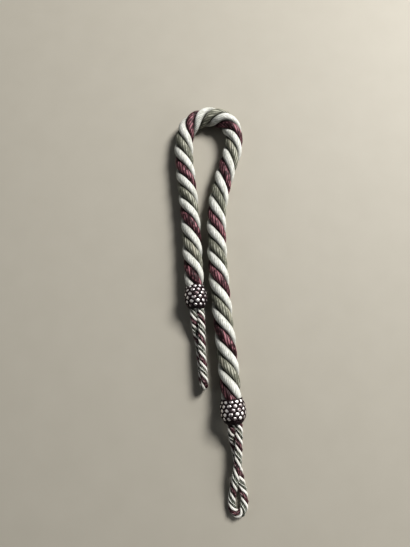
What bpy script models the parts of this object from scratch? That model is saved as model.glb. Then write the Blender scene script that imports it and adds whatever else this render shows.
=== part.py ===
"""Rope curtain tieback, lying flat on a surface in a long horseshoe.

A thick four-strand rope is bent over an arch into a short left leg and a long right leg. Each leg
ends in a netted barrel knot, and a loop of thin cord comes out of the far end of each knot.

Metres, +Z up. The surface that the tieback lies on is z = 0, +Y points up the legs to the arch,
and the origin is under the middle of the whole tieback. The tables below are in millimetres.
"""
import math

import bmesh
import bpy
from mathutils import Vector

MM = 0.001
GAP = 0.3                     # between pieces that meet
FLAT_DEPTH = 0.4              # how far a piece that lies on the surface is flattened
SURFACE_BLOCK = (200.0, 600.0, 20.0)
ROUTE_STEPS = 24              # of a route's smooth curve between two of its points
SHARP_ANGLE = 50.0            # degrees between faces whose shared edge stays sharp

# Rope
ROPE_RADIUS = 11.0            # to the crest of a strand
STRANDS = 4
SHOULDER_RADIUS = 10.2        # of the section, a quarter of the way to the next crest
FLUTE_RADIUS = 8.2            # of the groove between two strands
ROPE_SPACING = 4.0            # between the sections along the rope
ROPE_LIES = ROPE_RADIUS - FLAT_DEPTH
ROPE_LEAD = (0.0, 3.0, 7.0)   # points on its straight run next to a knot

# Netted knots: a barrel, widest at its middle, on its side
KNOT_RADIUS = 13.5
KNOT_LENGTH = 26.0
KNOT_TOP_RADIUS = 11.2        # of the flat face that the rope goes into
KNOT_BOTTOM_RADIUS = 8.4      # of the flat face that the loop comes out of
KNOT_LIES = KNOT_RADIUS - FLAT_DEPTH
KNOT_SIDES = 28
KNOT_RINGS = 12
# where each knot lies (x, y) and how far its top leans over to -X, in degrees
KNOTS = {
    "short": ((-14.7, -5.5), 5.5),
    "long": ((24.4, -124.9), 6.5),
}

# Thin cord of the loops
CORD_RADIUS = 3.6
CORD_SPACING = 4.0            # between the rings along the tube
CORD_EXIT = 3.9               # from the knot's axis to each of the two cords
CORD_LIES = CORD_RADIUS - 0.15
CORD_SIDES = 10
CORD_LEAD = (0.0, 1.5, 3.5)   # points on its straight run next to the knot

# The rope's centre line between the two knots: x, y, z
ROPE_ROUTE = (
    (-17.0, 23.5, 12.0),
    (-18.7, 44.8, 10.8),
    (-20.5, 74.1, ROPE_LIES),
    (-23.3, 104.4, ROPE_LIES),
    (-26.7, 135.2, ROPE_LIES),
    (-28.9, 156.5, ROPE_LIES),
    (-29.7, 177.5, ROPE_LIES),
    (-26.3, 198.3, ROPE_LIES),
    (-15.5, 210.1, ROPE_LIES),
    (2.1, 215.5, ROPE_LIES),
    (19.7, 210.7, ROPE_LIES),
    (28.9, 195.3, ROPE_LIES),
    (28.3, 171.6, ROPE_LIES),
    (20.0, 144.5, ROPE_LIES),
    (12.3, 114.4, ROPE_LIES),
    (9.1, 94.0, ROPE_LIES),
    (8.5, 74.1, ROPE_LIES),
    (8.8, 54.5, ROPE_LIES),
    (9.6, 35.1, ROPE_LIES),
    (10.8, 16.2, ROPE_LIES),
    (12.5, -2.4, ROPE_LIES),
    (15.0, -28.7, ROPE_LIES),
    (17.5, -53.2, ROPE_LIES),
    (19.9, -77.3, 10.8),
    (21.6, -95.5, 12.0),
)
# Distances along the rope at which one and the same strand is on top: a turn from each to the next
TWIST_STATIONS = (12.0, 72.5, 136.5, 200.5, 257.0, 316.6, 381.0, 442.0, 507.6, 569.6)

# The thin cord of each loop, from the right of its knot, round the tip and back to the left: x, y, z
LOOP_ROUTES = {
    "long": (
        (30.0, -147.0, 13.3),
        (29.6, -156.1, 12.8),
        (29.2, -165.7, 12.4),
        (28.5, -174.2, 12.0),
        (27.1, -182.7, 11.5),
        (25.5, -191.7, 9.2),
        (23.9, -200.9, 6.2),
        (22.6, -208.4, 4.2),
        (22.3, -213.6, CORD_LIES),
        (23.1, -218.1, CORD_LIES),
        (25.2, -221.8, CORD_LIES),
        (28.6, -223.4, CORD_LIES),
        (32.1, -222.0, CORD_LIES),
        (34.4, -218.3, CORD_LIES),
        (35.1, -213.1, CORD_LIES),
        (34.7, -205.8, CORD_LIES),
        (33.3, -198.9, CORD_LIES),
        (31.9, -192.3, CORD_LIES),
        (30.4, -184.8, CORD_LIES),
        (28.8, -176.3, CORD_LIES),
        (27.1, -166.8, 4.6),
        (25.2, -157.5, 6.2),
        (24.1, -153.0, 7.5),
        (23.2, -149.0, 9.2),
        (22.6, -145.2, 11.5),
    ),
    "short": (
        (-8.7, -26.0, 13.1),
        (-8.3, -35.0, 12.8),
        (-8.1, -45.7, 12.4),
        (-7.9, -56.2, 12.2),
        (-7.4, -67.7, 12.1),
        (-6.5, -78.1, 12.1),
        (-5.6, -87.9, 12.2),
        (-5.0, -96.0, 12.1),
        (-5.1, -99.0, 10.8),
        (-5.6, -100.3, 7.8),
        (-6.2, -99.0, 4.8),
        (-6.9, -96.0, CORD_LIES),
        (-7.7, -88.7, CORD_LIES),
        (-8.8, -79.3, CORD_LIES),
        (-9.9, -67.7, CORD_LIES),
        (-11.4, -56.0, 4.4),
        (-14.0, -44.2, 6.2),
        (-15.9, -34.5, 9.2),
        (-16.8, -27.0, 11.9),
    ),
}

COLOURS = {
    "rope": (0.66, 0.65, 0.58),
    "knot": (0.055, 0.02, 0.03),
    "cord": (0.62, 0.60, 0.55),
}
ROUGHNESS = {"rope": 0.85, "knot": 0.6, "cord": 0.8}


def clear_scene():
    for item in list(bpy.data.objects):
        bpy.data.objects.remove(item, do_unlink=True)


def collection(name):
    made = bpy.data.collections.new(name)
    bpy.context.scene.collection.children.link(made)
    return made


def material(name, finish):
    made = bpy.data.materials.new(name)
    made.use_nodes = True
    shader = made.node_tree.nodes["Principled BSDF"]
    shader.inputs["Base Color"].default_value = (*COLOURS[finish], 1.0)
    shader.inputs["Roughness"].default_value = ROUGHNESS[finish]
    shader.inputs["Metallic"].default_value = 0.0
    return made


def knot_point(knot, along, aside=0.0):
    """A point beside a knot: along its axis towards the rope, and aside to +X, from its middle."""
    (x, y), lean = KNOTS[knot]
    axis = Vector((-math.sin(math.radians(lean)), math.cos(math.radians(lean)), 0.0))
    side = Vector((axis.y, -axis.x, 0.0))
    return Vector((x, y, KNOT_LIES)) + axis * along + side * aside


def smooth_route(points, spacing):
    """Evenly spaced points on a centripetal Catmull-Rom curve through the given points."""
    knots = [Vector(point) for point in points]
    knots = [2 * knots[0] - knots[1]] + knots + [2 * knots[-1] - knots[-2]]
    dense = []
    for before, start, end, after in zip(knots, knots[1:], knots[2:], knots[3:]):
        d1 = math.sqrt((start - before).length)
        d2 = math.sqrt((end - start).length)
        d3 = math.sqrt((after - end).length)
        leave = ((start - before) / d1 - (end - before) / (d1 + d2) + (end - start) / d2) * d2
        arrive = ((end - start) / d2 - (after - start) / (d2 + d3) + (after - end) / d3) * d2
        for step in range(ROUTE_STEPS):
            t = step / ROUTE_STEPS
            dense.append((2 * t**3 - 3 * t**2 + 1) * start + (t**3 - 2 * t**2 + t) * leave
                         + (3 * t**2 - 2 * t**3) * end + (t**3 - t**2) * arrive)
    dense.append(knots[-2])
    reach = [0.0]
    for a, b in zip(dense, dense[1:]):
        reach.append(reach[-1] + (b - a).length)
    count = round(reach[-1] / spacing)
    even = []
    at = 0
    for step in range(count):
        wanted = reach[-1] * step / count
        while reach[at + 1] <= wanted:
            at += 1
        even.append(dense[at].lerp(dense[at + 1], (wanted - reach[at]) / (reach[at + 1] - reach[at])))
    return even + [dense[-1]], reach[-1]


def rope_route():
    face = KNOT_LENGTH / 2 + GAP
    start = [knot_point("short", face + run) for run in ROPE_LEAD]
    end = [knot_point("long", face + run) for run in reversed(ROPE_LEAD)]
    return smooth_route(start + list(ROPE_ROUTE) + end, ROPE_SPACING)


def loop_route(knot):
    face = KNOT_LENGTH / 2 + GAP
    start = [knot_point(knot, -face - run, CORD_EXIT) for run in CORD_LEAD]
    end = [knot_point(knot, -face - run, -CORD_EXIT) for run in reversed(CORD_LEAD)]
    return smooth_route(start + list(LOOP_ROUTES[knot]) + end, CORD_SPACING)[0]


def turns_at(distance):
    """Turns of the rope's strands from its first station to this distance along it."""
    last = len(TWIST_STATIONS) - 2
    index = 0
    while index < last and distance > TWIST_STATIONS[index + 1]:
        index += 1
    start, end = TWIST_STATIONS[index:index + 2]
    return index + (distance - start) / (end - start)


def poly_curve(name, points, cyclic=False):
    """A curve object with one straight-segment spline through points in millimetres."""
    data = bpy.data.curves.new(name, "CURVE")
    data.dimensions = "3D"
    data.use_fill_caps = True
    spline = data.splines.new("POLY")
    spline.points.add(len(points) - 1)
    for place, point in zip(spline.points, points):
        place.co = (*(MM * Vector(point)), 1.0)
    spline.use_cyclic_u = cyclic
    return bpy.data.objects.new(name, data)


def as_mesh(curve, name, parts, finish):
    """Replace a curve with its surface, as one closed mesh object among the parts."""
    bpy.context.view_layer.update()
    evaluated = curve.evaluated_get(bpy.context.evaluated_depsgraph_get())
    mesh = bpy.data.meshes.new_from_object(evaluated)
    shell = bmesh.new()
    shell.from_mesh(mesh)
    bmesh.ops.remove_doubles(shell, verts=shell.verts, dist=0.01 * MM)
    bmesh.ops.recalc_face_normals(shell, faces=shell.faces)
    shell.to_mesh(mesh)
    shell.free()
    piece = bpy.data.objects.new(name, mesh)
    piece.matrix_world = curve.matrix_world
    bpy.data.objects.remove(curve, do_unlink=True)
    mesh.materials.clear()
    mesh.materials.append(material(name + "_yarn", finish))
    mesh.shade_smooth()
    mesh.set_sharp_from_angle(angle=math.radians(SHARP_ANGLE))
    parts.objects.link(piece)
    return piece


def strand_section():
    """The rope's section: one rounded lobe for each strand."""
    radii = (ROPE_RADIUS, SHOULDER_RADIUS, FLUTE_RADIUS, SHOULDER_RADIUS) * STRANDS
    step = 2 * math.pi / len(radii)
    return [(radius * math.cos(i * step), radius * math.sin(i * step), 0.0)
            for i, radius in enumerate(radii)]


def make_rope(parts):
    points, length = rope_route()
    section = poly_curve("rope_section", strand_section(), cyclic=True)
    section.data.dimensions = "2D"
    section.hide_render = True
    section.display_type = "WIRE"
    parts.objects.link(section)
    rope = poly_curve("rope_line", points)
    rope.data.twist_mode = "Z_UP"
    rope.data.bevel_mode = "OBJECT"
    rope.data.bevel_object = section
    for index, place in enumerate(rope.data.splines[0].points):
        distance = length * index / (len(points) - 1)
        place.tilt = -2 * math.pi * turns_at(distance)
    parts.objects.link(rope)
    piece = as_mesh(rope, "rope", parts, "rope")
    bpy.data.objects.remove(section, do_unlink=True)
    return piece


def barrel_radius(z):
    """The knot's outline: half of an ellipse above its middle, half of a rounder one below."""
    end_radius = KNOT_TOP_RADIUS if z > 0 else KNOT_BOTTOM_RADIUS
    fall = (1 - (end_radius / KNOT_RADIUS) ** 2) * (2 * z / KNOT_LENGTH) ** 2
    return KNOT_RADIUS * math.sqrt(1 - fall)


def make_knot(knot, parts):
    """A turned barrel, laid on its side with its top towards the rope."""
    half = KNOT_LENGTH / 2
    heights = [half * math.cos(math.pi * ring / KNOT_RINGS) for ring in range(KNOT_RINGS + 1)]
    outline = [(0.0, half)] + [(barrel_radius(z), z) for z in heights] + [(0.0, -half)]
    name = "knot_" + knot
    mesh = bpy.data.meshes.new(name)
    corners = [(r * MM, 0.0, z * MM) for r, z in outline]
    edges = [(i, i + 1) for i in range(len(corners) - 1)]
    mesh.from_pydata(corners, edges, [])
    mesh.materials.append(material(name + "_net", "knot"))
    piece = bpy.data.objects.new(name, mesh)
    parts.objects.link(piece)
    turn = piece.modifiers.new("turn", "SCREW")
    turn.axis = "Z"
    turn.steps = KNOT_SIDES
    turn.render_steps = KNOT_SIDES
    turn.use_merge_vertices = True
    turn.merge_threshold = 0.01 * MM
    turn.use_smooth_shade = True
    piece.location = knot_point(knot, 0.0) * MM
    piece.rotation_euler = (-math.pi / 2, 0.0, math.radians(KNOTS[knot][1]))
    return piece


def make_loop(knot, parts):
    tube = poly_curve("loop_line", loop_route(knot))
    tube.data.bevel_depth = CORD_RADIUS * MM
    tube.data.bevel_resolution = (CORD_SIDES - 4) // 2
    parts.objects.link(tube)
    return as_mesh(tube, "loop_" + knot, parts, "cord")


def make_surface(cutters):
    """A block whose top is the surface that the tieback lies on."""
    bpy.ops.mesh.primitive_cube_add(size=1.0)
    block = bpy.context.active_object
    block.name = "lying_surface"
    block.scale = MM * Vector(SURFACE_BLOCK)
    block.location = (0.0, 0.0, -MM * SURFACE_BLOCK[2] / 2)
    block.hide_render = True
    block.display_type = "WIRE"
    for owner in list(block.users_collection):
        owner.objects.unlink(block)
    cutters.objects.link(block)
    return block


def lay_flat(piece, surface):
    """Flatten the piece's underside where it touches the surface."""
    cut = piece.modifiers.new("lies_flat", "BOOLEAN")
    cut.operation = "DIFFERENCE"
    cut.solver = "EXACT"
    cut.object = surface


def main():
    clear_scene()
    parts = collection("rope_curtain_tieback")
    surface = make_surface(collection("cutters"))
    pieces = [make_rope(parts)]
    for knot in KNOTS:
        pieces.append(make_knot(knot, parts))
        pieces.append(make_loop(knot, parts))
    for piece in pieces:
        lay_flat(piece, surface)


main()
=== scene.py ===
"""The finished look of a rope curtain tieback that lies flat in a long horseshoe.

Yarns are twisted into strands, four strands are laid into the thick rope, and finer plies into the
thin cord of the loops. Each end of the rope goes into a barrel knot: satin floss over a mould, under
a net of dark thread. Metres, in the frame of the part: the surface is z = 0, +Y points to the arch.
"""
import math

import bpy
from mathutils import Euler, Matrix, Vector


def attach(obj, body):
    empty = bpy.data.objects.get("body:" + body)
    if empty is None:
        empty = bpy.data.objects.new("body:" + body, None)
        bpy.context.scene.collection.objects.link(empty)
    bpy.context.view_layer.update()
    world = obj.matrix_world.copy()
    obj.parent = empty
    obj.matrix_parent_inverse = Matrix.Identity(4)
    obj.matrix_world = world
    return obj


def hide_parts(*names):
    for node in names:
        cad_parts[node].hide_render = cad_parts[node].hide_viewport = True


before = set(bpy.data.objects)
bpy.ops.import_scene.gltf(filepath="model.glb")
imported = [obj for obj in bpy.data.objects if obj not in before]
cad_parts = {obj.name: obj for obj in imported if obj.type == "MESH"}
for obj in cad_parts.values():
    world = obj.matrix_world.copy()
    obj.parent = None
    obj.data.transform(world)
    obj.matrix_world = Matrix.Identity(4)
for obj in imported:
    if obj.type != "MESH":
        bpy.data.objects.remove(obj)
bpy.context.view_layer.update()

TURN = 2 * math.pi
BODY = "root"

# ---------------------------------------------------------------- sizes of the tieback

ROPE_RADIUS = 0.0110
ROPE_LIES = 0.0106            # height of the rope's middle where it lies on the surface
ROPE_SPACING = 0.0016         # between the sections along the rope
ROPE_CREASE = 0.0062          # from the rope's middle to where two strands meet
STRAND_RADIUS = 0.0047
STRAND_HALF_ANGLE = math.radians(44.5)   # that a strand takes up of the rope, seen from its end
STRAND_SQUARENESS = 2.25      # of a strand's outer face: 2 is an ellipse, and more is fuller
STRAND_SOFTNESS = 0.0006      # range over which a strand's surface wanders in and out
STRAND_YARNS = 16             # of the coloured strands
WHITE_YARNS = 26              # of the white ones
YARN_DEPTH = 0.00028
YARN_PITCH = 0.050            # length of rope in which a yarn goes once round its strand

CORD_RADIUS = 0.0039
CORD_LIES = 0.00345
CORD_SPACING = 0.0008
CORD_EXIT = 0.0039            # from the knot's axis to each of the two cords
CORD_CREASE = 0.0024
PLY_RADIUS = 0.0016
PLY_HALF_ANGLE = math.radians(43.5)
PLY_SQUARENESS = 2.3
PLY_SOFTNESS = 0.0001
PLY_YARNS = 8
PLY_YARN_DEPTH = 0.00012
PLY_YARN_PITCH = 0.020
SHINE_THREAD_RADIUS = 0.00043
SHINE_THREAD_SEAT = 0.97            # of the cord's radius, where the middle of a shine thread is

# How much the rope and the cords narrow at a knot, as shares of their thickness, and from how far
ROPE_NECKS = {"Start neck": 0.15, "End neck": 0.08, "Neck length": 0.018}
CORD_NECKS = {"Start neck": 0.08, "End neck": 0.08, "Neck length": 0.006}

KNOT_RADIUS = 0.0135
KNOT_LENGTH = 0.0260
KNOT_LIES = 0.0131
MOUTH_DEPTH = 0.0020          # of the hollow in each end of a knot, in which the rope starts
GAP = 0.0003                  # between a knot's face and the end of the CAD rope or cord
ROPE_REACH = MOUTH_DEPTH - GAP       # of the rope past the CAD rope's end, into a knot's hollow
CORD_REACH = 0.0037           # of a loop's cord past the CAD cord's end, into its knot
LEAST_HEIGHT = 0.0001         # of anything over the surface
# where each knot lies (x, y) and how far its top leans over to -X, in degrees
KNOTS = {
    "short": ((-0.0147, -0.0055), 5.5),
    "long": ((0.0244, -0.1249), 6.5),
}
# Girth is a share of KNOT_RADIUS, and Foot is how far the end at the loop is from the middle
NETS = {
    "short": {"Girth": 0.925, "Top radius": 0.0090, "Bottom radius": 0.0080, "Foot": 0.0130,
              "Threads": 10, "Rows": 6, "Net turn": math.radians(2.0)},
    "long": {"Girth": 0.99, "Top radius": 0.0112, "Bottom radius": 0.0076, "Foot": 0.0114,
             "Threads": 12, "Rows": 5, "Net turn": math.radians(-7.0)},
}

ROUTE_STEPS = 24              # of a route's smooth curve between two of its points
# Points of the straight run out of a knot, from where the CAD rope or cord ends
ROPE_LEAD = (0.0, 0.003, 0.007)
CORD_LEAD = (0.0, 0.0015, 0.0035)

# The rope's centre line between the two knots: x, y, z
ROPE_ROUTE = (
    (-0.0170, 0.0235, 0.0120),
    (-0.0187, 0.0448, 0.0108),
    (-0.0205, 0.0741, ROPE_LIES),
    (-0.0233, 0.1044, ROPE_LIES),
    (-0.0267, 0.1352, ROPE_LIES),
    (-0.0289, 0.1565, ROPE_LIES),
    (-0.0297, 0.1775, ROPE_LIES),
    (-0.0263, 0.1983, ROPE_LIES),
    (-0.0155, 0.2101, ROPE_LIES),
    (0.0021, 0.2155, ROPE_LIES),
    (0.0197, 0.2107, ROPE_LIES),
    (0.0289, 0.1953, ROPE_LIES),
    (0.0283, 0.1716, ROPE_LIES),
    (0.0200, 0.1445, ROPE_LIES),
    (0.0123, 0.1144, ROPE_LIES),
    (0.0091, 0.0940, ROPE_LIES),
    (0.0085, 0.0741, ROPE_LIES),
    (0.0088, 0.0545, ROPE_LIES),
    (0.0096, 0.0351, ROPE_LIES),
    (0.0108, 0.0162, ROPE_LIES),
    (0.0125, -0.0024, ROPE_LIES),
    (0.0150, -0.0287, ROPE_LIES),
    (0.0175, -0.0532, ROPE_LIES),
    (0.0199, -0.0773, 0.0108),
    (0.0216, -0.0955, 0.0120),
)
# Distances along the rope at which the burgundy strand is on top: a turn from each to the next
TWIST_STATIONS = (0.0076, 0.0716, 0.1328, 0.1986, 0.2603, 0.3210, 0.3841, 0.4467, 0.5127, 0.5755)

# The thin cord of each loop, from the right of its knot, round the tip and back to the left: x, y, z
LOOP_ROUTES = {
    "long": (
        (0.0300, -0.1470, 0.0133),
        (0.0296, -0.1561, 0.0128),
        (0.0292, -0.1657, 0.0124),
        (0.0285, -0.1742, 0.0120),
        (0.0271, -0.1827, 0.0115),
        (0.0255, -0.1917, 0.0092),
        (0.0239, -0.2009, 0.0062),
        (0.0226, -0.2084, 0.0042),
        (0.0223, -0.2136, CORD_LIES),
        (0.0231, -0.2181, CORD_LIES),
        (0.0252, -0.2218, CORD_LIES),
        (0.0286, -0.2234, CORD_LIES),
        (0.0321, -0.2220, CORD_LIES),
        (0.0344, -0.2183, CORD_LIES),
        (0.0351, -0.2131, CORD_LIES),
        (0.0347, -0.2058, CORD_LIES),
        (0.0333, -0.1989, CORD_LIES),
        (0.0319, -0.1923, CORD_LIES),
        (0.0304, -0.1848, CORD_LIES),
        (0.0288, -0.1763, CORD_LIES),
        (0.0271, -0.1668, 0.0046),
        (0.0252, -0.1575, 0.0062),
        (0.0241, -0.1530, 0.0075),
        (0.0232, -0.1490, 0.0092),
        (0.0226, -0.1452, 0.0115),
    ),
    "short": (
        (-0.0087, -0.0260, 0.0131),
        (-0.0083, -0.0350, 0.0128),
        (-0.0081, -0.0457, 0.0124),
        (-0.0079, -0.0562, 0.0122),
        (-0.0074, -0.0677, 0.0121),
        (-0.0065, -0.0781, 0.0121),
        (-0.0056, -0.0879, 0.0122),
        (-0.0050, -0.0960, 0.0121),
        (-0.0051, -0.0990, 0.0108),
        (-0.0056, -0.1003, 0.0078),
        (-0.0062, -0.0990, 0.0048),
        (-0.0069, -0.0960, CORD_LIES),
        (-0.0077, -0.0887, CORD_LIES),
        (-0.0088, -0.0793, CORD_LIES),
        (-0.0099, -0.0677, CORD_LIES),
        (-0.0114, -0.0560, 0.0044),
        (-0.0140, -0.0442, 0.0062),
        (-0.0159, -0.0345, 0.0092),
        (-0.0168, -0.0270, 0.0119),
    ),
}
SIDE_TO_TOP = 0.25            # of a turn, from a strand's place beside the rope to its place on top
# Each loop's lay: the turns of its plies at the start of the cord, and the length of one turn
LOOP_LAY = {"long": (0.294, 0.0230), "short": (-0.362, 0.0223)}


# ---------------------------------------------------------------- node trees as expressions

def pick(sockets, name):
    """The socket at a place, or the first one of that name that is in use."""
    if isinstance(name, int):
        return sockets[name]
    return next(socket for socket in sockets if socket.name == name and socket.enabled)


class Wire:
    """An output of a node, on which arithmetic adds the Math nodes that work it out."""

    def __init__(self, graph, socket):
        self.graph = graph
        self.socket = socket

    def __getitem__(self, name):
        return Wire(self.graph, pick(self.socket.node.outputs, name))

    def __add__(self, other):
        return maths("ADD", self, other)

    def __radd__(self, other):
        return maths("ADD", other, self)

    def __sub__(self, other):
        return maths("SUBTRACT", self, other)

    def __rsub__(self, other):
        return maths("SUBTRACT", other, self)

    def __mul__(self, other):
        return maths("MULTIPLY", self, other)

    def __rmul__(self, other):
        return maths("MULTIPLY", other, self)

    def __truediv__(self, other):
        return maths("DIVIDE", self, other)

    def __rtruediv__(self, other):
        return maths("DIVIDE", other, self)

    def __pow__(self, other):
        return maths("POWER", self, other)

    def __gt__(self, other):
        return maths("GREATER_THAN", self, other)

    def __lt__(self, other):
        return maths("LESS_THAN", self, other)


def maths(operation, *values):
    graph = next(value.graph for value in values if isinstance(value, Wire))
    return graph.add("ShaderNodeMath", {"operation": operation}, dict(enumerate(values)))


def sine(value):
    return maths("SINE", value)


def cosine(value):
    return maths("COSINE", value)


def size_of(value):
    return maths("ABSOLUTE", value)


def root(value):
    return maths("SQRT", value)


def whole(value):
    return maths("FLOOR", value)


class Graph:
    """A tree of geometry or shader nodes while it is being filled."""

    def __init__(self, tree):
        self.tree = tree
        tree.nodes.clear()

    def add(self, kind, settings=None, sockets=None):
        """Add a node: first its settings, then the values or wires of its sockets."""
        node = self.tree.nodes.new(kind)
        for name, value in (settings or {}).items():
            setattr(node, name, value)
        for name, value in (sockets or {}).items():
            socket = pick(node.inputs, name)
            for item in value if isinstance(value, list) else [value]:
                if isinstance(item, Wire):
                    self.tree.links.new(item.socket, socket)
                else:
                    socket.default_value = item
        outputs = [socket for socket in node.outputs if socket.enabled]
        return Wire(self, outputs[0]) if outputs else None

    # vectors
    def vector(self, x=0.0, y=0.0, z=0.0):
        return self.add("ShaderNodeCombineXYZ", {}, {0: x, 1: y, 2: z})

    def vectors(self, operation, *values):
        return self.add("ShaderNodeVectorMath", {"operation": operation}, dict(enumerate(values)))

    def stretch(self, vector, factor):
        return self.add("ShaderNodeVectorMath", {"operation": "SCALE"},
                        {"Vector": vector, "Scale": factor})

    # colours
    def blend(self, factor, low, high):
        """Mix two colours, each three numbers or a wire."""
        low, high = ((*c, 1.0) if isinstance(c, tuple) else c for c in (low, high))
        mixed = self.add("ShaderNodeMix", {"data_type": "RGBA"}, {0: factor, 6: low, 7: high})
        return mixed["Result"]

    def noise(self, vector, scale, detail, roughness=0.5):
        return self.add("ShaderNodeTexNoise", {}, {"Vector": vector, "Scale": scale, "Detail": detail,
                                                   "Roughness": roughness})


# ---------------------------------------------------------------- geometry node helpers

SOCKET_KINDS = {
    "geometry": "NodeSocketGeometry",
    "size": "NodeSocketFloat",
    "count": "NodeSocketInt",
}


class Maker(Graph):
    """A tree of geometry nodes with named inputs."""

    def __init__(self, name, **inputs):
        super().__init__(bpy.data.node_groups.new(name, "GeometryNodeTree"))
        self.tree.interface.new_socket("Geometry", in_out="INPUT", socket_type=SOCKET_KINDS["geometry"])
        for label, kind in inputs.items():
            self.tree.interface.new_socket(label, in_out="INPUT", socket_type=SOCKET_KINDS[kind])
        self.tree.interface.new_socket("Geometry", in_out="OUTPUT", socket_type=SOCKET_KINDS["geometry"])
        self.inputs = self.add("NodeGroupInput")

    def store(self, geometry, name, value, kind="FLOAT", domain="POINT"):
        return self.add("GeometryNodeStoreNamedAttribute", {"data_type": kind, "domain": domain},
                        {"Geometry": geometry, "Name": name, "Value": value})

    def read(self, name, kind="FLOAT"):
        return self.add("GeometryNodeInputNamedAttribute", {"data_type": kind}, {"Name": name})

    def move(self, geometry, offset):
        return self.add("GeometryNodeSetPosition", {}, {"Geometry": geometry, "Offset": offset})

    def place(self, geometry, position):
        return self.add("GeometryNodeSetPosition", {}, {"Geometry": geometry, "Position": position})

    def position(self):
        return self.add("ShaderNodeSeparateXYZ", {}, {0: self.add("GeometryNodeInputPosition")})

    def lifted(self, mesh):
        """The mesh with what would be below the surface pressed flat on it."""
        at = self.position()
        height = maths("MAXIMUM", at["Z"], LEAST_HEIGHT)
        return self.place(mesh, self.vector(at["X"], at["Y"], height))

    def ring(self, sides, radius):
        """A circle whose points know how far round they are."""
        circle = self.add("GeometryNodeCurvePrimitiveCircle", {}, {"Resolution": sides, "Radius": radius})
        return self.store(circle, "around", self.add("GeometryNodeSplineParameter")["Factor"])

    def swept(self, line, profile):
        return self.add("GeometryNodeCurveToMesh", {}, {"Curve": line, "Profile Curve": profile,
                                                        "Fill Caps": True})

    def sleeve_map(self, mesh):
        """A UV map from the attributes around and along, whose seam closes at 1 and not at 0."""
        around = self.read("around")
        middle = self.add("GeometryNodeFieldOnDomain", {"domain": "FACE"}, {"Value": around})
        closed = around + ((middle - around) > 0.25)
        return self.store(mesh, "UVMap", self.vector(closed, self.read("along")), "FLOAT2", "CORNER")

    def dressed(self, geometry, finish):
        """The geometry with its instances made real, smooth and in its finish."""
        real = self.add("GeometryNodeRealizeInstances", {}, {"Geometry": geometry})
        smooth = self.add("GeometryNodeSetShadeSmooth", {}, {"Geometry": real, "Shade Smooth": True})
        return self.add("GeometryNodeSetMaterial", {}, {"Geometry": smooth, "Material": finish})

    def finish(self, *parts):
        joined = self.add("GeometryNodeJoinGeometry", {}, {"Geometry": list(reversed(parts))})
        self.add("NodeGroupOutput", {}, {"Geometry": joined})
        return self.tree


def grow(host, tree, sizes):
    """Turn a host into the mesh that a tree grows from it."""
    modifier = host.modifiers.new("grow", "NODES")
    modifier.node_group = tree
    for item in tree.interface.items_tree:
        if item.item_type == "SOCKET" and item.in_out == "INPUT" and item.name in sizes:
            modifier[item.identifier] = sizes[item.name]
    bpy.context.view_layer.update()
    evaluated = host.evaluated_get(bpy.context.evaluated_depsgraph_get())
    grown = bpy.data.meshes.new_from_object(evaluated)
    host.modifiers.clear()
    host.data = grown
    return host


def new_host(name, points=(), turns=()):
    """A mesh object of one open line of points with the turns of the lay at each, or an empty one."""
    mesh = bpy.data.meshes.new(name)
    mesh.from_pydata(points, [(i, i + 1) for i in range(len(points) - 1)], [])
    if turns:
        mesh.attributes.new("turn", "FLOAT", "POINT").data.foreach_set("value", turns)
    host = bpy.data.objects.new(name, mesh)
    bpy.context.scene.collection.objects.link(host)
    return host


# ---------------------------------------------------------------- routes

def knot_frame(knot):
    """Places a knot's own frame, +Z up its axis to the rope, where the knot lies."""
    (x, y), lean = KNOTS[knot]
    turn = Euler((-math.pi / 2, 0.0, math.radians(lean))).to_matrix().to_4x4()
    return Matrix.Translation((x, y, KNOT_LIES)) @ turn


def knot_point(knot, along, aside=0.0):
    """A point beside a knot: along its axis towards the rope, and aside to +X, from its middle."""
    return knot_frame(knot) @ Vector((aside, 0.0, along))


def smooth_route(points, spacing):
    """Evenly spaced points on a centripetal Catmull-Rom curve through the given points."""
    knots = [Vector(point) for point in points]
    knots = [2 * knots[0] - knots[1]] + knots + [2 * knots[-1] - knots[-2]]
    dense = []
    for before, start, end, after in zip(knots, knots[1:], knots[2:], knots[3:]):
        d1 = math.sqrt((start - before).length)
        d2 = math.sqrt((end - start).length)
        d3 = math.sqrt((after - end).length)
        leave = ((start - before) / d1 - (end - before) / (d1 + d2) + (end - start) / d2) * d2
        arrive = ((end - start) / d2 - (after - start) / (d2 + d3) + (after - end) / d3) * d2
        for step in range(ROUTE_STEPS):
            t = step / ROUTE_STEPS
            dense.append((2 * t**3 - 3 * t**2 + 1) * start + (t**3 - 2 * t**2 + t) * leave
                         + (3 * t**2 - 2 * t**3) * end + (t**3 - t**2) * arrive)
    dense.append(knots[-2])
    reach = [0.0]
    for a, b in zip(dense, dense[1:]):
        reach.append(reach[-1] + (b - a).length)
    count = round(reach[-1] / spacing)
    even = []
    at = 0
    for step in range(count):
        wanted = reach[-1] * step / count
        while reach[at + 1] <= wanted:
            at += 1
        even.append(dense[at].lerp(dense[at + 1], (wanted - reach[at]) / (reach[at + 1] - reach[at])))
    return even + [dense[-1]], reach[-1]


def rope_route(spacing):
    """The rope's line: it starts and ends in the hollows of the knots."""
    face = KNOT_LENGTH / 2 + GAP
    lead = (-ROPE_REACH,) + ROPE_LEAD
    start = [knot_point("short", face + run) for run in lead]
    end = [knot_point("long", face + run) for run in reversed(lead)]
    return smooth_route(start + list(ROPE_ROUTE) + end, spacing)


def loop_route(knot, spacing):
    """A loop's line, from inside its knot, round the tip and back in."""
    face = KNOT_LENGTH / 2 + GAP
    lead = (-CORD_REACH,) + CORD_LEAD
    start = [knot_point(knot, -face - run, CORD_EXIT) for run in lead]
    end = [knot_point(knot, -face - run, -CORD_EXIT) for run in reversed(lead)]
    return smooth_route(start + list(LOOP_ROUTES[knot]) + end, spacing)


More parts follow.
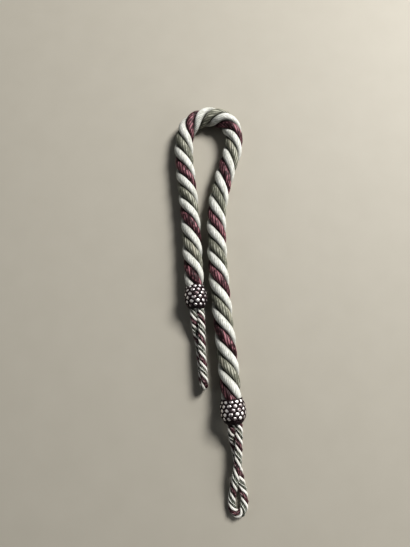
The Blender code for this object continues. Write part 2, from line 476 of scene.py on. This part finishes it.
def turns_at(distance):
    """Turns of the rope's strands from its first station to this distance along it."""
    last = len(TWIST_STATIONS) - 2
    index = 0
    while index < last and distance > TWIST_STATIONS[index + 1]:
        index += 1
    start, end = TWIST_STATIONS[index:index + 2]
    return index + (distance - start) / (end - start) + SIDE_TO_TOP


# ---------------------------------------------------------------- finishes

def shaded(name, fill, **constants):
    """A material whose shader takes the named constants and the wires that fill() returns."""
    finish = bpy.data.materials.new(name)
    finish.use_nodes = True
    graph = Graph(finish.node_tree)
    sockets = {label.replace("_", " "): value for label, value in constants.items()}
    sockets.update(fill(graph))
    shader = graph.add("ShaderNodeBsdfPrincipled", {}, sockets)
    graph.add("ShaderNodeOutputMaterial", {}, {"Surface": shader})
    return finish


# Scales of noise, in cells to the metre
FIBRES = 2200.0               # single fibres of a strand
FINE_FIBRES = 3000.0          # and of a thread
SLUBS = 620.0                 # thick and thin places of spun cotton
MOTTLE = 330.0                # lighter and darker places of spun cotton
PATCHES = 170.0               # where shiny yarns catch more light or less
SHINE_GAP_SCALE = 420.0                  # where a shine thread's painted highlight gives way to the ply's own colour
CLOUD = 210.0                 # bright and dull puffs of floss; the dull ones are painted shade, for puffs that mirror the dark room
FLOOR_GRAIN = 30.0
# Along a yarn or thread, in one metre
STREAK_RATE = 150.0           # light and dark places of the painted highlight on a yarn's crest
YARN_TWIST_RATE = 160.0       # half turns of the threads in a yarn
SHINE_THREAD_TWIST_RATE = 900.0
NET_TWIST_RATE = 700.0
YARNS_APART = 5.3             # in the noise, so that each yarn has streaks of its own
# Cosines of the angle round a strand between a place on it and the rope's outside, which set the painted
# shade in the creases between strands
CREASE_EDGE = 0.14            # where the painted shade of a crease ends
CREASE_WIDTH = 0.78           # from there to where the strand is fully open


def sleeve(graph, radius, stretch):
    """Place on a strand as a point of a straight sleeve, so that patterns have no seam."""
    uv = graph.add("ShaderNodeSeparateXYZ", {}, {0: graph.add("ShaderNodeUVMap", {"uv_map": "UVMap"})})
    angle = uv["X"] * TURN
    return graph.vector(cosine(angle) * radius, sine(angle) * radius, uv["Y"] / stretch), uv


def bumped(graph, height, depth, strength):
    return graph.add("ShaderNodeBump", {}, {"Strength": strength, "Distance": depth, "Height": height})


def crease_shade(uv, pitch):
    """Painted shade: from 0, darkest in the crease between two strands, to 1 on a strand's open face."""
    outward = cosine((uv["X"] + uv["Y"] / pitch) * TURN)
    return maths("MINIMUM", maths("MAXIMUM", outward - CREASE_EDGE, 0.0) / CREASE_WIDTH, 1.0) ** 0.8


def cotton(name, light, shade, crease):
    """Soft white spun cotton: fine yarns side by side, faintly mottled, with painted shade between the
    yarns and deep in the creases.
    """
    def fill(graph):
        lengthwise, uv = sleeve(graph, STRAND_RADIUS, stretch=4.0)
        fibres = graph.noise(lengthwise, FIBRES, detail=2.0, roughness=0.6)
        slubs = graph.noise(lengthwise, SLUBS, detail=3.0, roughness=0.6)
        phase = uv["X"] * WHITE_YARNS
        across = size_of(sine(phase * math.pi))
        own = graph.add("ShaderNodeTexWhiteNoise", {"noise_dimensions": "1D"}, {"W": whole(phase) + 0.5})
        place = graph.add("ShaderNodeTexCoord")["Object"]
        mottle = graph.noise(place, MOTTLE, detail=3.0, roughness=0.6)
        rough_tone = (fibres * 0.2 + slubs * 0.4 + mottle * 0.4 - 0.5) * 3.0
        # darker between the yarns: painted shade of the grooves between them, over the cotton's own mottle
        tone = rough_tone + 0.55 + own * 0.3 - (1.0 - across ** 0.5) * 0.8
        colour = graph.blend(tone, shade, light)
        # painted shade towards the creases between strands
        colour = graph.blend(crease_shade(uv, YARN_PITCH), crease, colour)
        height = fibres * 0.35 + slubs * 0.6 + across ** 0.5 * 0.75
        return {"Base Color": colour, "Normal": bumped(graph, height, depth=0.0005, strength=0.8)}
    return shaded(name, fill, Roughness=0.85, Specular_IOR_Level=0.3)


def twisted_yarn(name, radius, pitch, yarns, groove, body, crest, odd, odd_share, roughness):
    """Shiny yarns side by side, with painted shade in the grooves and painted highlights streaked on their
    crests.

    An odd one of them has another colour.
    """
    def fill(graph):
        lengthwise, uv = sleeve(graph, radius, stretch=7.0)
        phase = uv["X"] * yarns
        number = whole(phase)
        across = size_of(sine(phase * math.pi))
        own = graph.add("ShaderNodeTexWhiteNoise", {"noise_dimensions": "1D"}, {"W": number + 0.5})
        crest_line = graph.vector(number * YARNS_APART + across * 0.25, uv["Y"] * STREAK_RATE)
        streaks = graph.noise(crest_line, 1.0, detail=2.0, roughness=0.6)
        threads = size_of(sine((phase * 3.0 + uv["Y"] * YARN_TWIST_RATE) * math.pi))
        fibres = graph.noise(lengthwise, FIBRES, detail=2.0, roughness=0.6)
        place = graph.add("ShaderNodeTexCoord")["Object"]
        patches = graph.noise(place, PATCHES, detail=1.0)
        # painted shade in the grooves between yarns
        base = graph.blend(across ** 0.5 * (0.75 + threads * 0.25), groove, body)
        # painted highlight along each yarn's crest, broken into streaks
        lit = (streaks * 1.6 + patches * 0.25 + own * 0.3 - 0.96) * across ** 2.0 * 3.2
        highlighted = graph.blend(lit, base, crest)
        is_odd = (own < odd_share) * across
        toned = graph.blend(is_odd * (0.4 + streaks), highlighted, odd)
        # painted shade towards the creases between strands, down to the darkest colour of the finish
        colour = graph.blend(crease_shade(uv, pitch), groove, toned)
        height = across ** 0.5 + threads * 0.2 + fibres * 0.35
        return {"Base Color": colour, "Roughness": roughness + fibres * 0.2,
                "Normal": bumped(graph, height, depth=0.0003, strength=0.5)}
    return shaded(name, fill, Specular_IOR_Level=0.3)


def shine_thread(name, light, shade, gap_share):
    """One fine pale thread along a ply's crest, with its own twist: a painted highlight of the ply's
    shine, which gives way here and there to the ply's colour.
    """
    def fill(graph):
        lengthwise, uv = sleeve(graph, radius=0.0005, stretch=3.0)
        twist = size_of(sine((uv["X"] * 2.0 + uv["Y"] * SHINE_THREAD_TWIST_RATE) * math.pi))
        place = graph.add("ShaderNodeTexCoord")["Object"]
        shine_gaps = graph.noise(place, SHINE_GAP_SCALE, detail=2.0, roughness=0.6)
        fibres = graph.noise(lengthwise, FINE_FIBRES, detail=2.0)
        # painted highlight, broken here and there into the ply's own colour
        colour = graph.blend((shine_gaps - gap_share) * 4.0 * (0.6 + twist * 0.4), shade, light)
        height = twist + fibres * 0.4
        return {"Base Color": colour, "Normal": bumped(graph, height, depth=0.0002, strength=0.5)}
    return shaded(name, fill, Roughness=0.5)


def dark_thread():
    """Near-black burgundy thread of the net, with its own fine twist."""
    def fill(graph):
        lengthwise, uv = sleeve(graph, radius=0.001, stretch=3.0)
        twist = size_of(sine((uv["X"] * 2.0 + uv["Y"] * NET_TWIST_RATE) * math.pi))
        fibres = graph.noise(lengthwise, FINE_FIBRES, detail=2.0)
        # lighter on the ridges of the twist: painted highlight
        colour = graph.blend(twist * fibres * 1.2, (0.0035, 0.0012, 0.0022), (0.026, 0.008, 0.013))
        height = twist + fibres * 0.4
        return {"Base Color": colour, "Roughness": 0.5 + fibres * 0.2,
                "Normal": bumped(graph, height, depth=0.0003, strength=0.6)}
    return shaded("net_thread", fill, Specular_IOR_Level=0.3)


def satin_floss():
    """White satin floss puffed up between the threads of the net: it shines from the sides, and some puffs
    are dulled with painted shade.
    """
    def fill(graph):
        uv = graph.add("ShaderNodeSeparateXYZ", {}, {0: graph.add("ShaderNodeUVMap", {"uv_map": "UVMap"})})
        place = graph.add("ShaderNodeTexCoord")["Object"]
        threads = graph.noise(graph.vector(uv["X"] * 9.0, uv["Y"] * 1.5), 1.0, detail=2.0)
        puff_dimming = graph.noise(place, CLOUD, detail=1.0)
        # dull puffs: painted shade, standing in for dark reflections in the satin
        tone = (threads * 0.3 + puff_dimming * 0.7 - 0.5) * 7.0 + 0.75
        colour = graph.blend(tone, (0.13, 0.08, 0.09), (0.98, 0.95, 0.94))
        return {"Base Color": colour, "Roughness": 0.34 + threads * 0.12,
                "Normal": bumped(graph, threads, depth=0.0003, strength=0.5)}
    return shaded("satin_floss", fill, Metallic=0.8)


def strand_yarn(name, **look):
    return twisted_yarn(name, STRAND_RADIUS, YARN_PITCH, STRAND_YARNS, **look)


def ply_yarn(name, **look):
    return twisted_yarn(name, PLY_RADIUS, PLY_YARN_PITCH, PLY_YARNS, **look)


# In each yarn finish the darkest colour is painted shade for the grooves and creases, and the crest colour
# is the painted highlight on the yarns' crests; the cotton's crease colour is painted shade for the
# creases.
FINISHES = {
    "rope white": cotton(
        "rope_white_cotton",
        light=(0.85, 0.86, 0.82), shade=(0.40, 0.41, 0.36), crease=(0.035, 0.032, 0.024)),
    "rope sage": strand_yarn(
        "rope_sage_yarn",
        groove=(0.028, 0.029, 0.020), body=(0.185, 0.188, 0.148), crest=(0.46, 0.46, 0.385),
        odd=(0.44, 0.42, 0.34), odd_share=0.09, roughness=0.5),
    "rope burgundy": strand_yarn(
        "rope_burgundy_yarn",
        groove=(0.004, 0.001, 0.002), body=(0.032, 0.006, 0.009), crest=(0.39, 0.175, 0.205),
        odd=(0.26, 0.11, 0.13), odd_share=0.10, roughness=0.45),
    "cord white": ply_yarn(
        "cord_white_yarn",
        groove=(0.30, 0.29, 0.25), body=(0.86, 0.85, 0.80), crest=(0.95, 0.94, 0.91),
        odd=(0.90, 0.89, 0.85), odd_share=0.2, roughness=0.5),
    "cord sage": ply_yarn(
        "cord_sage_yarn",
        groove=(0.010, 0.012, 0.008), body=(0.048, 0.055, 0.042), crest=(0.36, 0.38, 0.32),
        odd=(0.22, 0.22, 0.17), odd_share=0.15, roughness=0.45),
    "cord burgundy": ply_yarn(
        "cord_burgundy_yarn",
        groove=(0.003, 0.001, 0.001), body=(0.018, 0.004, 0.006), crest=(0.22, 0.09, 0.11),
        odd=(0.12, 0.04, 0.05), odd_share=0.15, roughness=0.42),
    "tracer white": shine_thread("white_shine_thread", (0.90, 0.90, 0.86), (0.20, 0.21, 0.17), 0.30),
    "tracer rose": shine_thread("rose_shine_thread", (0.66, 0.46, 0.48), (0.035, 0.008, 0.012), 0.46),
    "net": dark_thread(),
    "floss": satin_floss(),
}


# ---------------------------------------------------------------- laid rope and cord

LAY_NORMALS = {"laid_rope": "Z_UP", "laid_cord": "MINIMUM_TWIST"}
THREAD_SIDES = 8
WEDGE_FOOT = 0.8              # of the crease's radius: a strand's depth inside the creases
BULGES = 160.0                # the scale of noise at which a strand's surface wanders
# In the order in which they lie: finish, fullness as a share of the crest radius, width as a share
# of the half angle, sides of the section, and whether its yarns are shaped
ROPE_STRANDS = (
    ("rope burgundy", 0.98, 0.98, 66, True),
    ("rope white", 1.01, 1.02, 48, False),
    ("rope sage", 0.98, 0.98, 66, True),
    ("rope white", 1.01, 1.02, 48, False),
)
CORD_PLIES = (
    ("cord burgundy", 0.97, 1.16, 32, True),
    ("cord white", 1.03, 0.84, 32, True),
    ("cord sage", 0.97, 1.16, 32, True),
    ("cord white", 1.03, 0.84, 32, True),
)
# The fine pale thread on a ply's crest, a painted highlight of that ply's shine, and which ply that is
CORD_SHINE_THREADS = (("tracer rose", 0), ("tracer white", 2))


def laid_tree(name, strands, shine_threads=()):
    """Strands laid round a line: wedges with round outer faces, which meet in deep creases."""
    maker = Maker(name, **{
        "Crest radius": "size", "Crease radius": "size", "Half angle": "size", "Squareness": "size",
        "Yarns": "count", "Yarn depth": "size", "Yarn pitch": "size", "Softness": "size",
        "Start neck": "size", "End neck": "size", "Neck length": "size",
    })
    given = maker.inputs
    line = maker.add("GeometryNodeMeshToCurve", {}, {"Mesh": given["Geometry"]})
    line = maker.add("GeometryNodeSetCurveNormal", {"mode": LAY_NORMALS[name]}, {"Curve": line})
    line = maker.add("GeometryNodeSetCurveTilt", {}, {"Curve": line, "Tilt": maker.read("turn") * -TURN})
    spot = maker.add("GeometryNodeSplineParameter")
    line = maker.store(line, "along", spot["Length"])
    to_end = maker.add("GeometryNodeSplineLength")["Length"] - spot["Length"]
    slimmer = 0.0
    for run, neck in ((spot["Length"], "Start neck"), (to_end, "End neck")):
        slimmer = slimmer + given[neck] * maths("MAXIMUM", 1.0 - run / given["Neck length"], 0.0) ** 2.0
    line = maker.store(line, "girth", 1.0 - slimmer)
    tangent = maker.add("GeometryNodeInputTangent")
    normal = maker.add("GeometryNodeInputNormal")
    line = maker.store(line, "middle", maker.add("GeometryNodeInputPosition"), "FLOAT_VECTOR")
    line = maker.store(line, "aside", normal, "FLOAT_VECTOR")
    line = maker.store(line, "upward", maker.vectors("CROSS_PRODUCT", tangent, normal), "FLOAT_VECTOR")

    def laid(mesh, angle, radius):
        """Move a swept mesh out from the line to an angle and a radius round it."""
        aside = maker.stretch(maker.read("aside", "FLOAT_VECTOR"), cosine(angle) * radius)
        upward = maker.stretch(maker.read("upward", "FLOAT_VECTOR"), sine(angle) * radius)
        offset = maker.vectors("ADD", aside, upward)
        return maker.place(mesh, maker.vectors("ADD", maker.read("middle", "FLOAT_VECTOR"), offset))

    parts = []
    foot = given["Crease radius"] * WEDGE_FOOT
    for index, (finish, fullness, share, sides, yarned) in enumerate(strands):
        mesh = maker.swept(line, maker.ring(sides, given["Crest radius"]))
        place = (maker.read("around") + maker.read("along") / given["Yarn pitch"]) * TURN
        reach = given["Crest radius"] * fullness - given["Crease radius"]
        full = 1.0
        if yarned:
            swell = size_of(sine(maker.read("around") * given["Yarns"] * math.pi))
            full = 1.0 - (1.0 - swell) * given["Yarn depth"] / reach
        rise = (1.0 - size_of(sine(place)) ** given["Squareness"]) ** (1.0 / given["Squareness"])
        outside = cosine(place) > 0.0
        depth = rise * (outside * (reach + foot) - foot)
        radius = (given["Crease radius"] + depth * full) * maker.read("girth")
        angle = sine(place) * full * given["Half angle"] * share + TURN * index / len(strands)
        mesh = laid(mesh, angle, radius)
        softness = maker.noise(maker.add("GeometryNodeInputPosition"), BULGES, detail=1.0)
        bulge = (softness - 0.5) * given["Softness"]
        mesh = maker.move(mesh, maker.stretch(maker.add("GeometryNodeInputNormal"), bulge))
        parts.append(maker.dressed(maker.sleeve_map(maker.lifted(mesh)), FINISHES[finish]))
    # pale threads on the plies' crests: painted highlights of their shine
    for finish, index in shine_threads:
        mesh = maker.swept(line, maker.ring(THREAD_SIDES, SHINE_THREAD_RADIUS))
        place = maker.read("around") * TURN
        radius = given["Crest radius"] * SHINE_THREAD_SEAT + cosine(place) * SHINE_THREAD_RADIUS
        angle = sine(place) * SHINE_THREAD_RADIUS / given["Crest radius"] + TURN * index / len(strands)
        mesh = laid(mesh, angle, radius * maker.read("girth"))
        parts.append(maker.dressed(maker.sleeve_map(maker.lifted(mesh)), FINISHES[finish]))
    return maker.finish(*parts)


def lay_rope():
    points, length = rope_route(ROPE_SPACING)
    step = length / (len(points) - 1)
    turns = [turns_at(step * i - ROPE_REACH) for i in range(len(points))]
    tree = laid_tree("laid_rope", ROPE_STRANDS)
    rope = grow(new_host("four_strand_rope", points, turns), tree, {
        "Crest radius": ROPE_RADIUS, "Crease radius": ROPE_CREASE, "Half angle": STRAND_HALF_ANGLE,
        "Squareness": STRAND_SQUARENESS, "Yarns": STRAND_YARNS,
        "Yarn depth": YARN_DEPTH, "Yarn pitch": YARN_PITCH, "Softness": STRAND_SOFTNESS,
        **ROPE_NECKS,
    })
    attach(rope, BODY)
    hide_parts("rope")


def lay_loop(knot, tree):
    points, length = loop_route(knot, CORD_SPACING)
    start, pitch = LOOP_LAY[knot]
    step = length / (len(points) - 1)
    turns = [start + step * i / pitch for i in range(len(points))]
    loop = grow(new_host("cord_loop_" + knot, points, turns), tree, {
        "Crest radius": CORD_RADIUS, "Crease radius": CORD_CREASE, "Half angle": PLY_HALF_ANGLE,
        "Squareness": PLY_SQUARENESS, "Yarns": PLY_YARNS,
        "Yarn depth": PLY_YARN_DEPTH, "Yarn pitch": PLY_YARN_PITCH, "Softness": PLY_SOFTNESS,
        **CORD_NECKS,
    })
    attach(loop, BODY)
    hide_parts("loop_" + knot)


# ---------------------------------------------------------------- netted knots

NET_STEP = 0.0079             # along the knot while a thread goes one mesh round
NET_SKEW = 9.3                # radians of turn of the whole net in a metre of knot
FIRST_ROW = 0.01055           # where the first row of meshes is, from the knot's middle
NET_TOP = (0.0, 0.0, 0.0118)
NET_BOTTOM = (0.0, 0.0, -0.0106)
NET_POINTS = 44               # along each thread of the net
THREAD_RADIUS = 0.00098
THREAD_LIFT = 0.0003          # of a thread over another, and as much down where it passes under
MOULD_DEPTH = 0.0016          # of the mould under the knot's outline
MOUTH_SHARE = 0.93            # of the mould's radius, out to which its ends are hollow
PUFF_DEPTH = 0.0012           # of the middle of a puff of floss under the knot's outline
PUFF_WIDTH = 0.0027           # half of a puff's width round the knot, where the knot is widest
PUFF_HEIGHT = 0.0022          # and half of its height
PUFF_PROUD = 0.0001           # of a puff's top over the knot's outline
PUFF_LEAN = 0.5               # of the puffs away from the knot's middle
RIM = (0.0127, 0.0118)        # heights between which thread is wound round the rope's end
RIM_TURNS = 1.5
FOOT = (-0.72, -0.97)         # the same at the loop's end, as shares of the foot's reach
FOOT_TURNS = 5.0
WINDING_DEPTH = 0.0010        # of the middle of the wound thread under the knot's outline
TURN_POINTS = 48              # in one turn of the wound thread
ROUNDING = 0.001              # added to a row's number, so that rounding can't drop it to the row before


def knot_tree():
    """An upright mould in a net of dark thread, with floss puffed out of each of the net's meshes."""
    maker = Maker("netted_knot", **{
        "Girth": "size", "Top radius": "size", "Bottom radius": "size", "Foot": "size",
        "Threads": "count", "Rows": "count", "Net turn": "size", "Thread radius": "size",
        "Puff width": "size", "Puff height": "size",
    })
    given = maker.inputs
    mesh_angle = TURN / given["Threads"]
    skin = KNOT_RADIUS * given["Girth"]

    def barrel(z):
        """The knot's outline at height z: one ellipse above its middle and another below."""
        end_radius = given["Bottom radius"] + (z > 0.0) * (given["Top radius"] - given["Bottom radius"])
        share = end_radius / KNOT_RADIUS
        reach = given["Foot"] + (z > 0.0) * (KNOT_LENGTH / 2 - given["Foot"])
        fall = (1.0 - share * share) * (z / reach) ** 2.0
        return root(1.0 - fall) * skin

    def net_angle(steps, z):
        """The angle round the knot of a place that is steps meshes round, at height z."""
        return steps * mesh_angle + (FIRST_ROW - z) * NET_SKEW + given["Net turn"] - TURN / 4

    def at_angle(angle, radius, z):
        return maker.vector(cosine(angle) * radius, sine(angle) * radius, z)

    # the mould under the net, with a mouth sunk into each end
    mould = maker.add("GeometryNodeMeshCylinder", {}, {
        "Vertices": 48, "Side Segments": 20, "Fill Segments": 12, "Radius": 1.0, "Depth": KNOT_LENGTH})
    at = maker.position()
    share = root(at["X"] * at["X"] + at["Y"] * at["Y"])
    foot_share = given["Foot"] * (2 / KNOT_LENGTH)
    level = at["Z"] * (foot_share + (at["Z"] > 0.0) * (1.0 - foot_share))
    under = barrel(level) - MOULD_DEPTH
    deep = (share < MOUTH_SHARE) * MOUTH_DEPTH
    side = (at["Z"] > 0.0) * 2.0 - 1.0
    mould = maker.place(mould, maker.vector(at["X"] * under, at["Y"] * under, level - side * deep))
    mould = maker.store(mould, "UVMap", maker.vector(at["X"], at["Z"]), "FLOAT2", "CORNER")

    # the threads of the net, over and under each other
    reach = maker.add("GeometryNodeCurvePrimitiveLine", {}, {"Start": NET_TOP, "End": NET_BOTTOM})
    reach = maker.add("GeometryNodeResampleCurve", {}, {"Curve": reach, "Count": NET_POINTS})
    reach = maker.store(reach, "along", maker.add("GeometryNodeSplineParameter")["Length"])
    net = maker.add("GeometryNodeDuplicateElements", {"domain": "SPLINE"},
                    {"Geometry": reach, "Amount": given["Threads"] * 2.0})
    number = net["Duplicate Index"]
    way = (number > given["Threads"] - 0.5) * 2.0 - 1.0
    height = maker.position()["Z"]
    down = (FIRST_ROW - height) / NET_STEP
    angle = net_angle(number + 0.5 + way * down, height)
    radius = barrel(height) - given["Thread radius"] + way * cosine(down * TURN) * THREAD_LIFT
    net = maker.place(net["Geometry"], at_angle(angle, radius, height))
    profile = maker.ring(THREAD_SIDES, given["Thread radius"])
    net = maker.sleeve_map(maker.swept(net, profile))

    # the floss that puffs out of each mesh of the net
    spots = maker.add("GeometryNodePoints", {}, {"Count": given["Threads"] * given["Rows"]})
    index = maker.add("GeometryNodeInputIndex")
    row = whole(index / given["Threads"] + ROUNDING)
    height = FIRST_ROW - NET_STEP / 2 * row
    angle = net_angle(index + 0.5 * row, height)
    spots = maker.place(spots, at_angle(angle, barrel(height) - PUFF_DEPTH, height))
    facing = at_angle(angle, 1.0, height * PUFF_LEAN / KNOT_RADIUS)
    upright = maker.add("FunctionNodeAlignRotationToVector", {"axis": "Z"}, {"Vector": facing})
    upright = maker.add("FunctionNodeAlignRotationToVector", {"axis": "Y", "pivot_axis": "Z"},
                        {"Rotation": upright, "Vector": (0, 0, 1)})
    puff = maker.add("GeometryNodeMeshUVSphere", {}, {"Segments": 16, "Rings": 8, "Radius": 1.0})
    flat = maker.position()
    puff = maker.store(puff["Mesh"], "UVMap", maker.vector(flat["X"], flat["Y"]), "FLOAT2", "CORNER")
    size = barrel(height) / skin
    scale = maker.vector(given["Puff width"] * size, given["Puff height"] * size, PUFF_DEPTH + PUFF_PROUD)
    puffs = maker.add("GeometryNodeInstanceOnPoints", {}, {
        "Points": spots, "Instance": puff, "Rotation": upright, "Scale": scale})

    # thread wound round both ends
    windings = []
    foot = tuple(given["Foot"] * share for share in FOOT)
    for (start, end), turns in ((RIM, RIM_TURNS), (foot, FOOT_TURNS)):
        wound = maker.add("GeometryNodeCurvePrimitiveLine", {}, {
            "Start": maker.vector(z=start), "End": maker.vector(z=end)})
        wound = maker.add("GeometryNodeResampleCurve", {},
                          {"Curve": wound, "Count": round(TURN_POINTS * turns) + 1})
        angle = maker.add("GeometryNodeSplineParameter")["Factor"] * (turns * TURN)
        wound = maker.store(wound, "along", angle * given["Top radius"])
        height = maker.position()["Z"]
        wound = maker.place(wound, at_angle(angle, barrel(height) - WINDING_DEPTH, height))
        windings.append(maker.sleeve_map(maker.swept(wound, profile)))

    return maker.finish(
        maker.dressed(mould, FINISHES["net"]),
        maker.dressed(net, FINISHES["net"]),
        maker.dressed(puffs, FINISHES["floss"]),
        *(maker.dressed(winding, FINISHES["net"]) for winding in windings),
    )


def make_knot(knot, tree):
    piece = grow(new_host("netted_knot_" + knot), tree, {
        **NETS[knot], "Thread radius": THREAD_RADIUS,
        "Puff width": PUFF_WIDTH, "Puff height": PUFF_HEIGHT,
    })
    piece.data.transform(knot_frame(knot))
    for vertex in piece.data.vertices:
        vertex.co.z = max(vertex.co.z, LEAST_HEIGHT)
    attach(piece, BODY)
    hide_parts("knot_" + knot)


# ---------------------------------------------------------------- studio

CAMERA_PLACE = (-0.0046, -0.0703, 0.4406)
CAMERA_TILT = math.radians(12.0)
CAMERA_LENS = 26.0
FLOOR_SIZE = 8.0
ROOM_COLOUR = (0.9, 0.92, 0.95, 1.0)
ROOM_STRENGTH = 0.075


def make_camera():
    data = bpy.data.cameras.new("camera")
    data.lens = CAMERA_LENS
    data.clip_start = 0.01
    camera = bpy.data.objects.new("camera", data)
    camera.location = CAMERA_PLACE
    camera.rotation_euler = (CAMERA_TILT, 0.0, 0.0)
    bpy.context.scene.collection.objects.link(camera)
    bpy.context.scene.camera = camera


def make_floor():
    def fill(graph):
        place = graph.add("ShaderNodeTexCoord")["Object"]
        grain = graph.noise(place, FLOOR_GRAIN, detail=3.0)
        colour = graph.blend(grain, (0.40, 0.378, 0.325), (0.43, 0.407, 0.353))
        return {"Base Color": colour}
    bpy.ops.mesh.primitive_plane_add(size=FLOOR_SIZE)
    floor = bpy.context.active_object
    floor.name = "floor"
    floor.data.materials.append(shaded("floor_paint", fill, Roughness=0.7))


def make_light(name, place, size, power, colour):
    """A square soft light that faces the middle of the tieback."""
    data = bpy.data.lights.new(name, "AREA")
    data.size = size
    data.energy = power
    data.color = colour
    light = bpy.data.objects.new(name, data)
    light.location = place
    light.rotation_euler = (-Vector(place)).to_track_quat("-Z", "Y").to_euler()
    light.visible_camera = False
    bpy.context.scene.collection.objects.link(light)


def make_studio():
    make_floor()
    make_light("key", place=(1.30, 1.35, 1.60), size=0.8, power=80.0, colour=(1.0, 0.98, 0.95))
    make_light("right", place=(1.70, -0.40, 0.70), size=0.9, power=7.0, colour=(1.0, 0.99, 0.97))
    make_light("left", place=(-1.70, 0.10, 0.90), size=0.9, power=3.0, colour=(0.97, 0.98, 1.0))
    world = bpy.data.worlds.new("room")
    world.use_nodes = True
    background = world.node_tree.nodes["Background"]
    background.inputs["Color"].default_value = ROOM_COLOUR
    background.inputs["Strength"].default_value = ROOM_STRENGTH
    bpy.context.scene.world = world
    bpy.context.scene.view_settings.view_transform = "Standard"
    bpy.context.scene.view_settings.look = "Medium High Contrast"


# ---------------------------------------------------------------- making

make_camera()
lay_rope()
cord_tree = laid_tree("laid_cord", CORD_PLIES, CORD_SHINE_THREADS)
net_tree = knot_tree()
for knot_name in KNOTS:
    lay_loop(knot_name, cord_tree)
    make_knot(knot_name, net_tree)
make_studio()
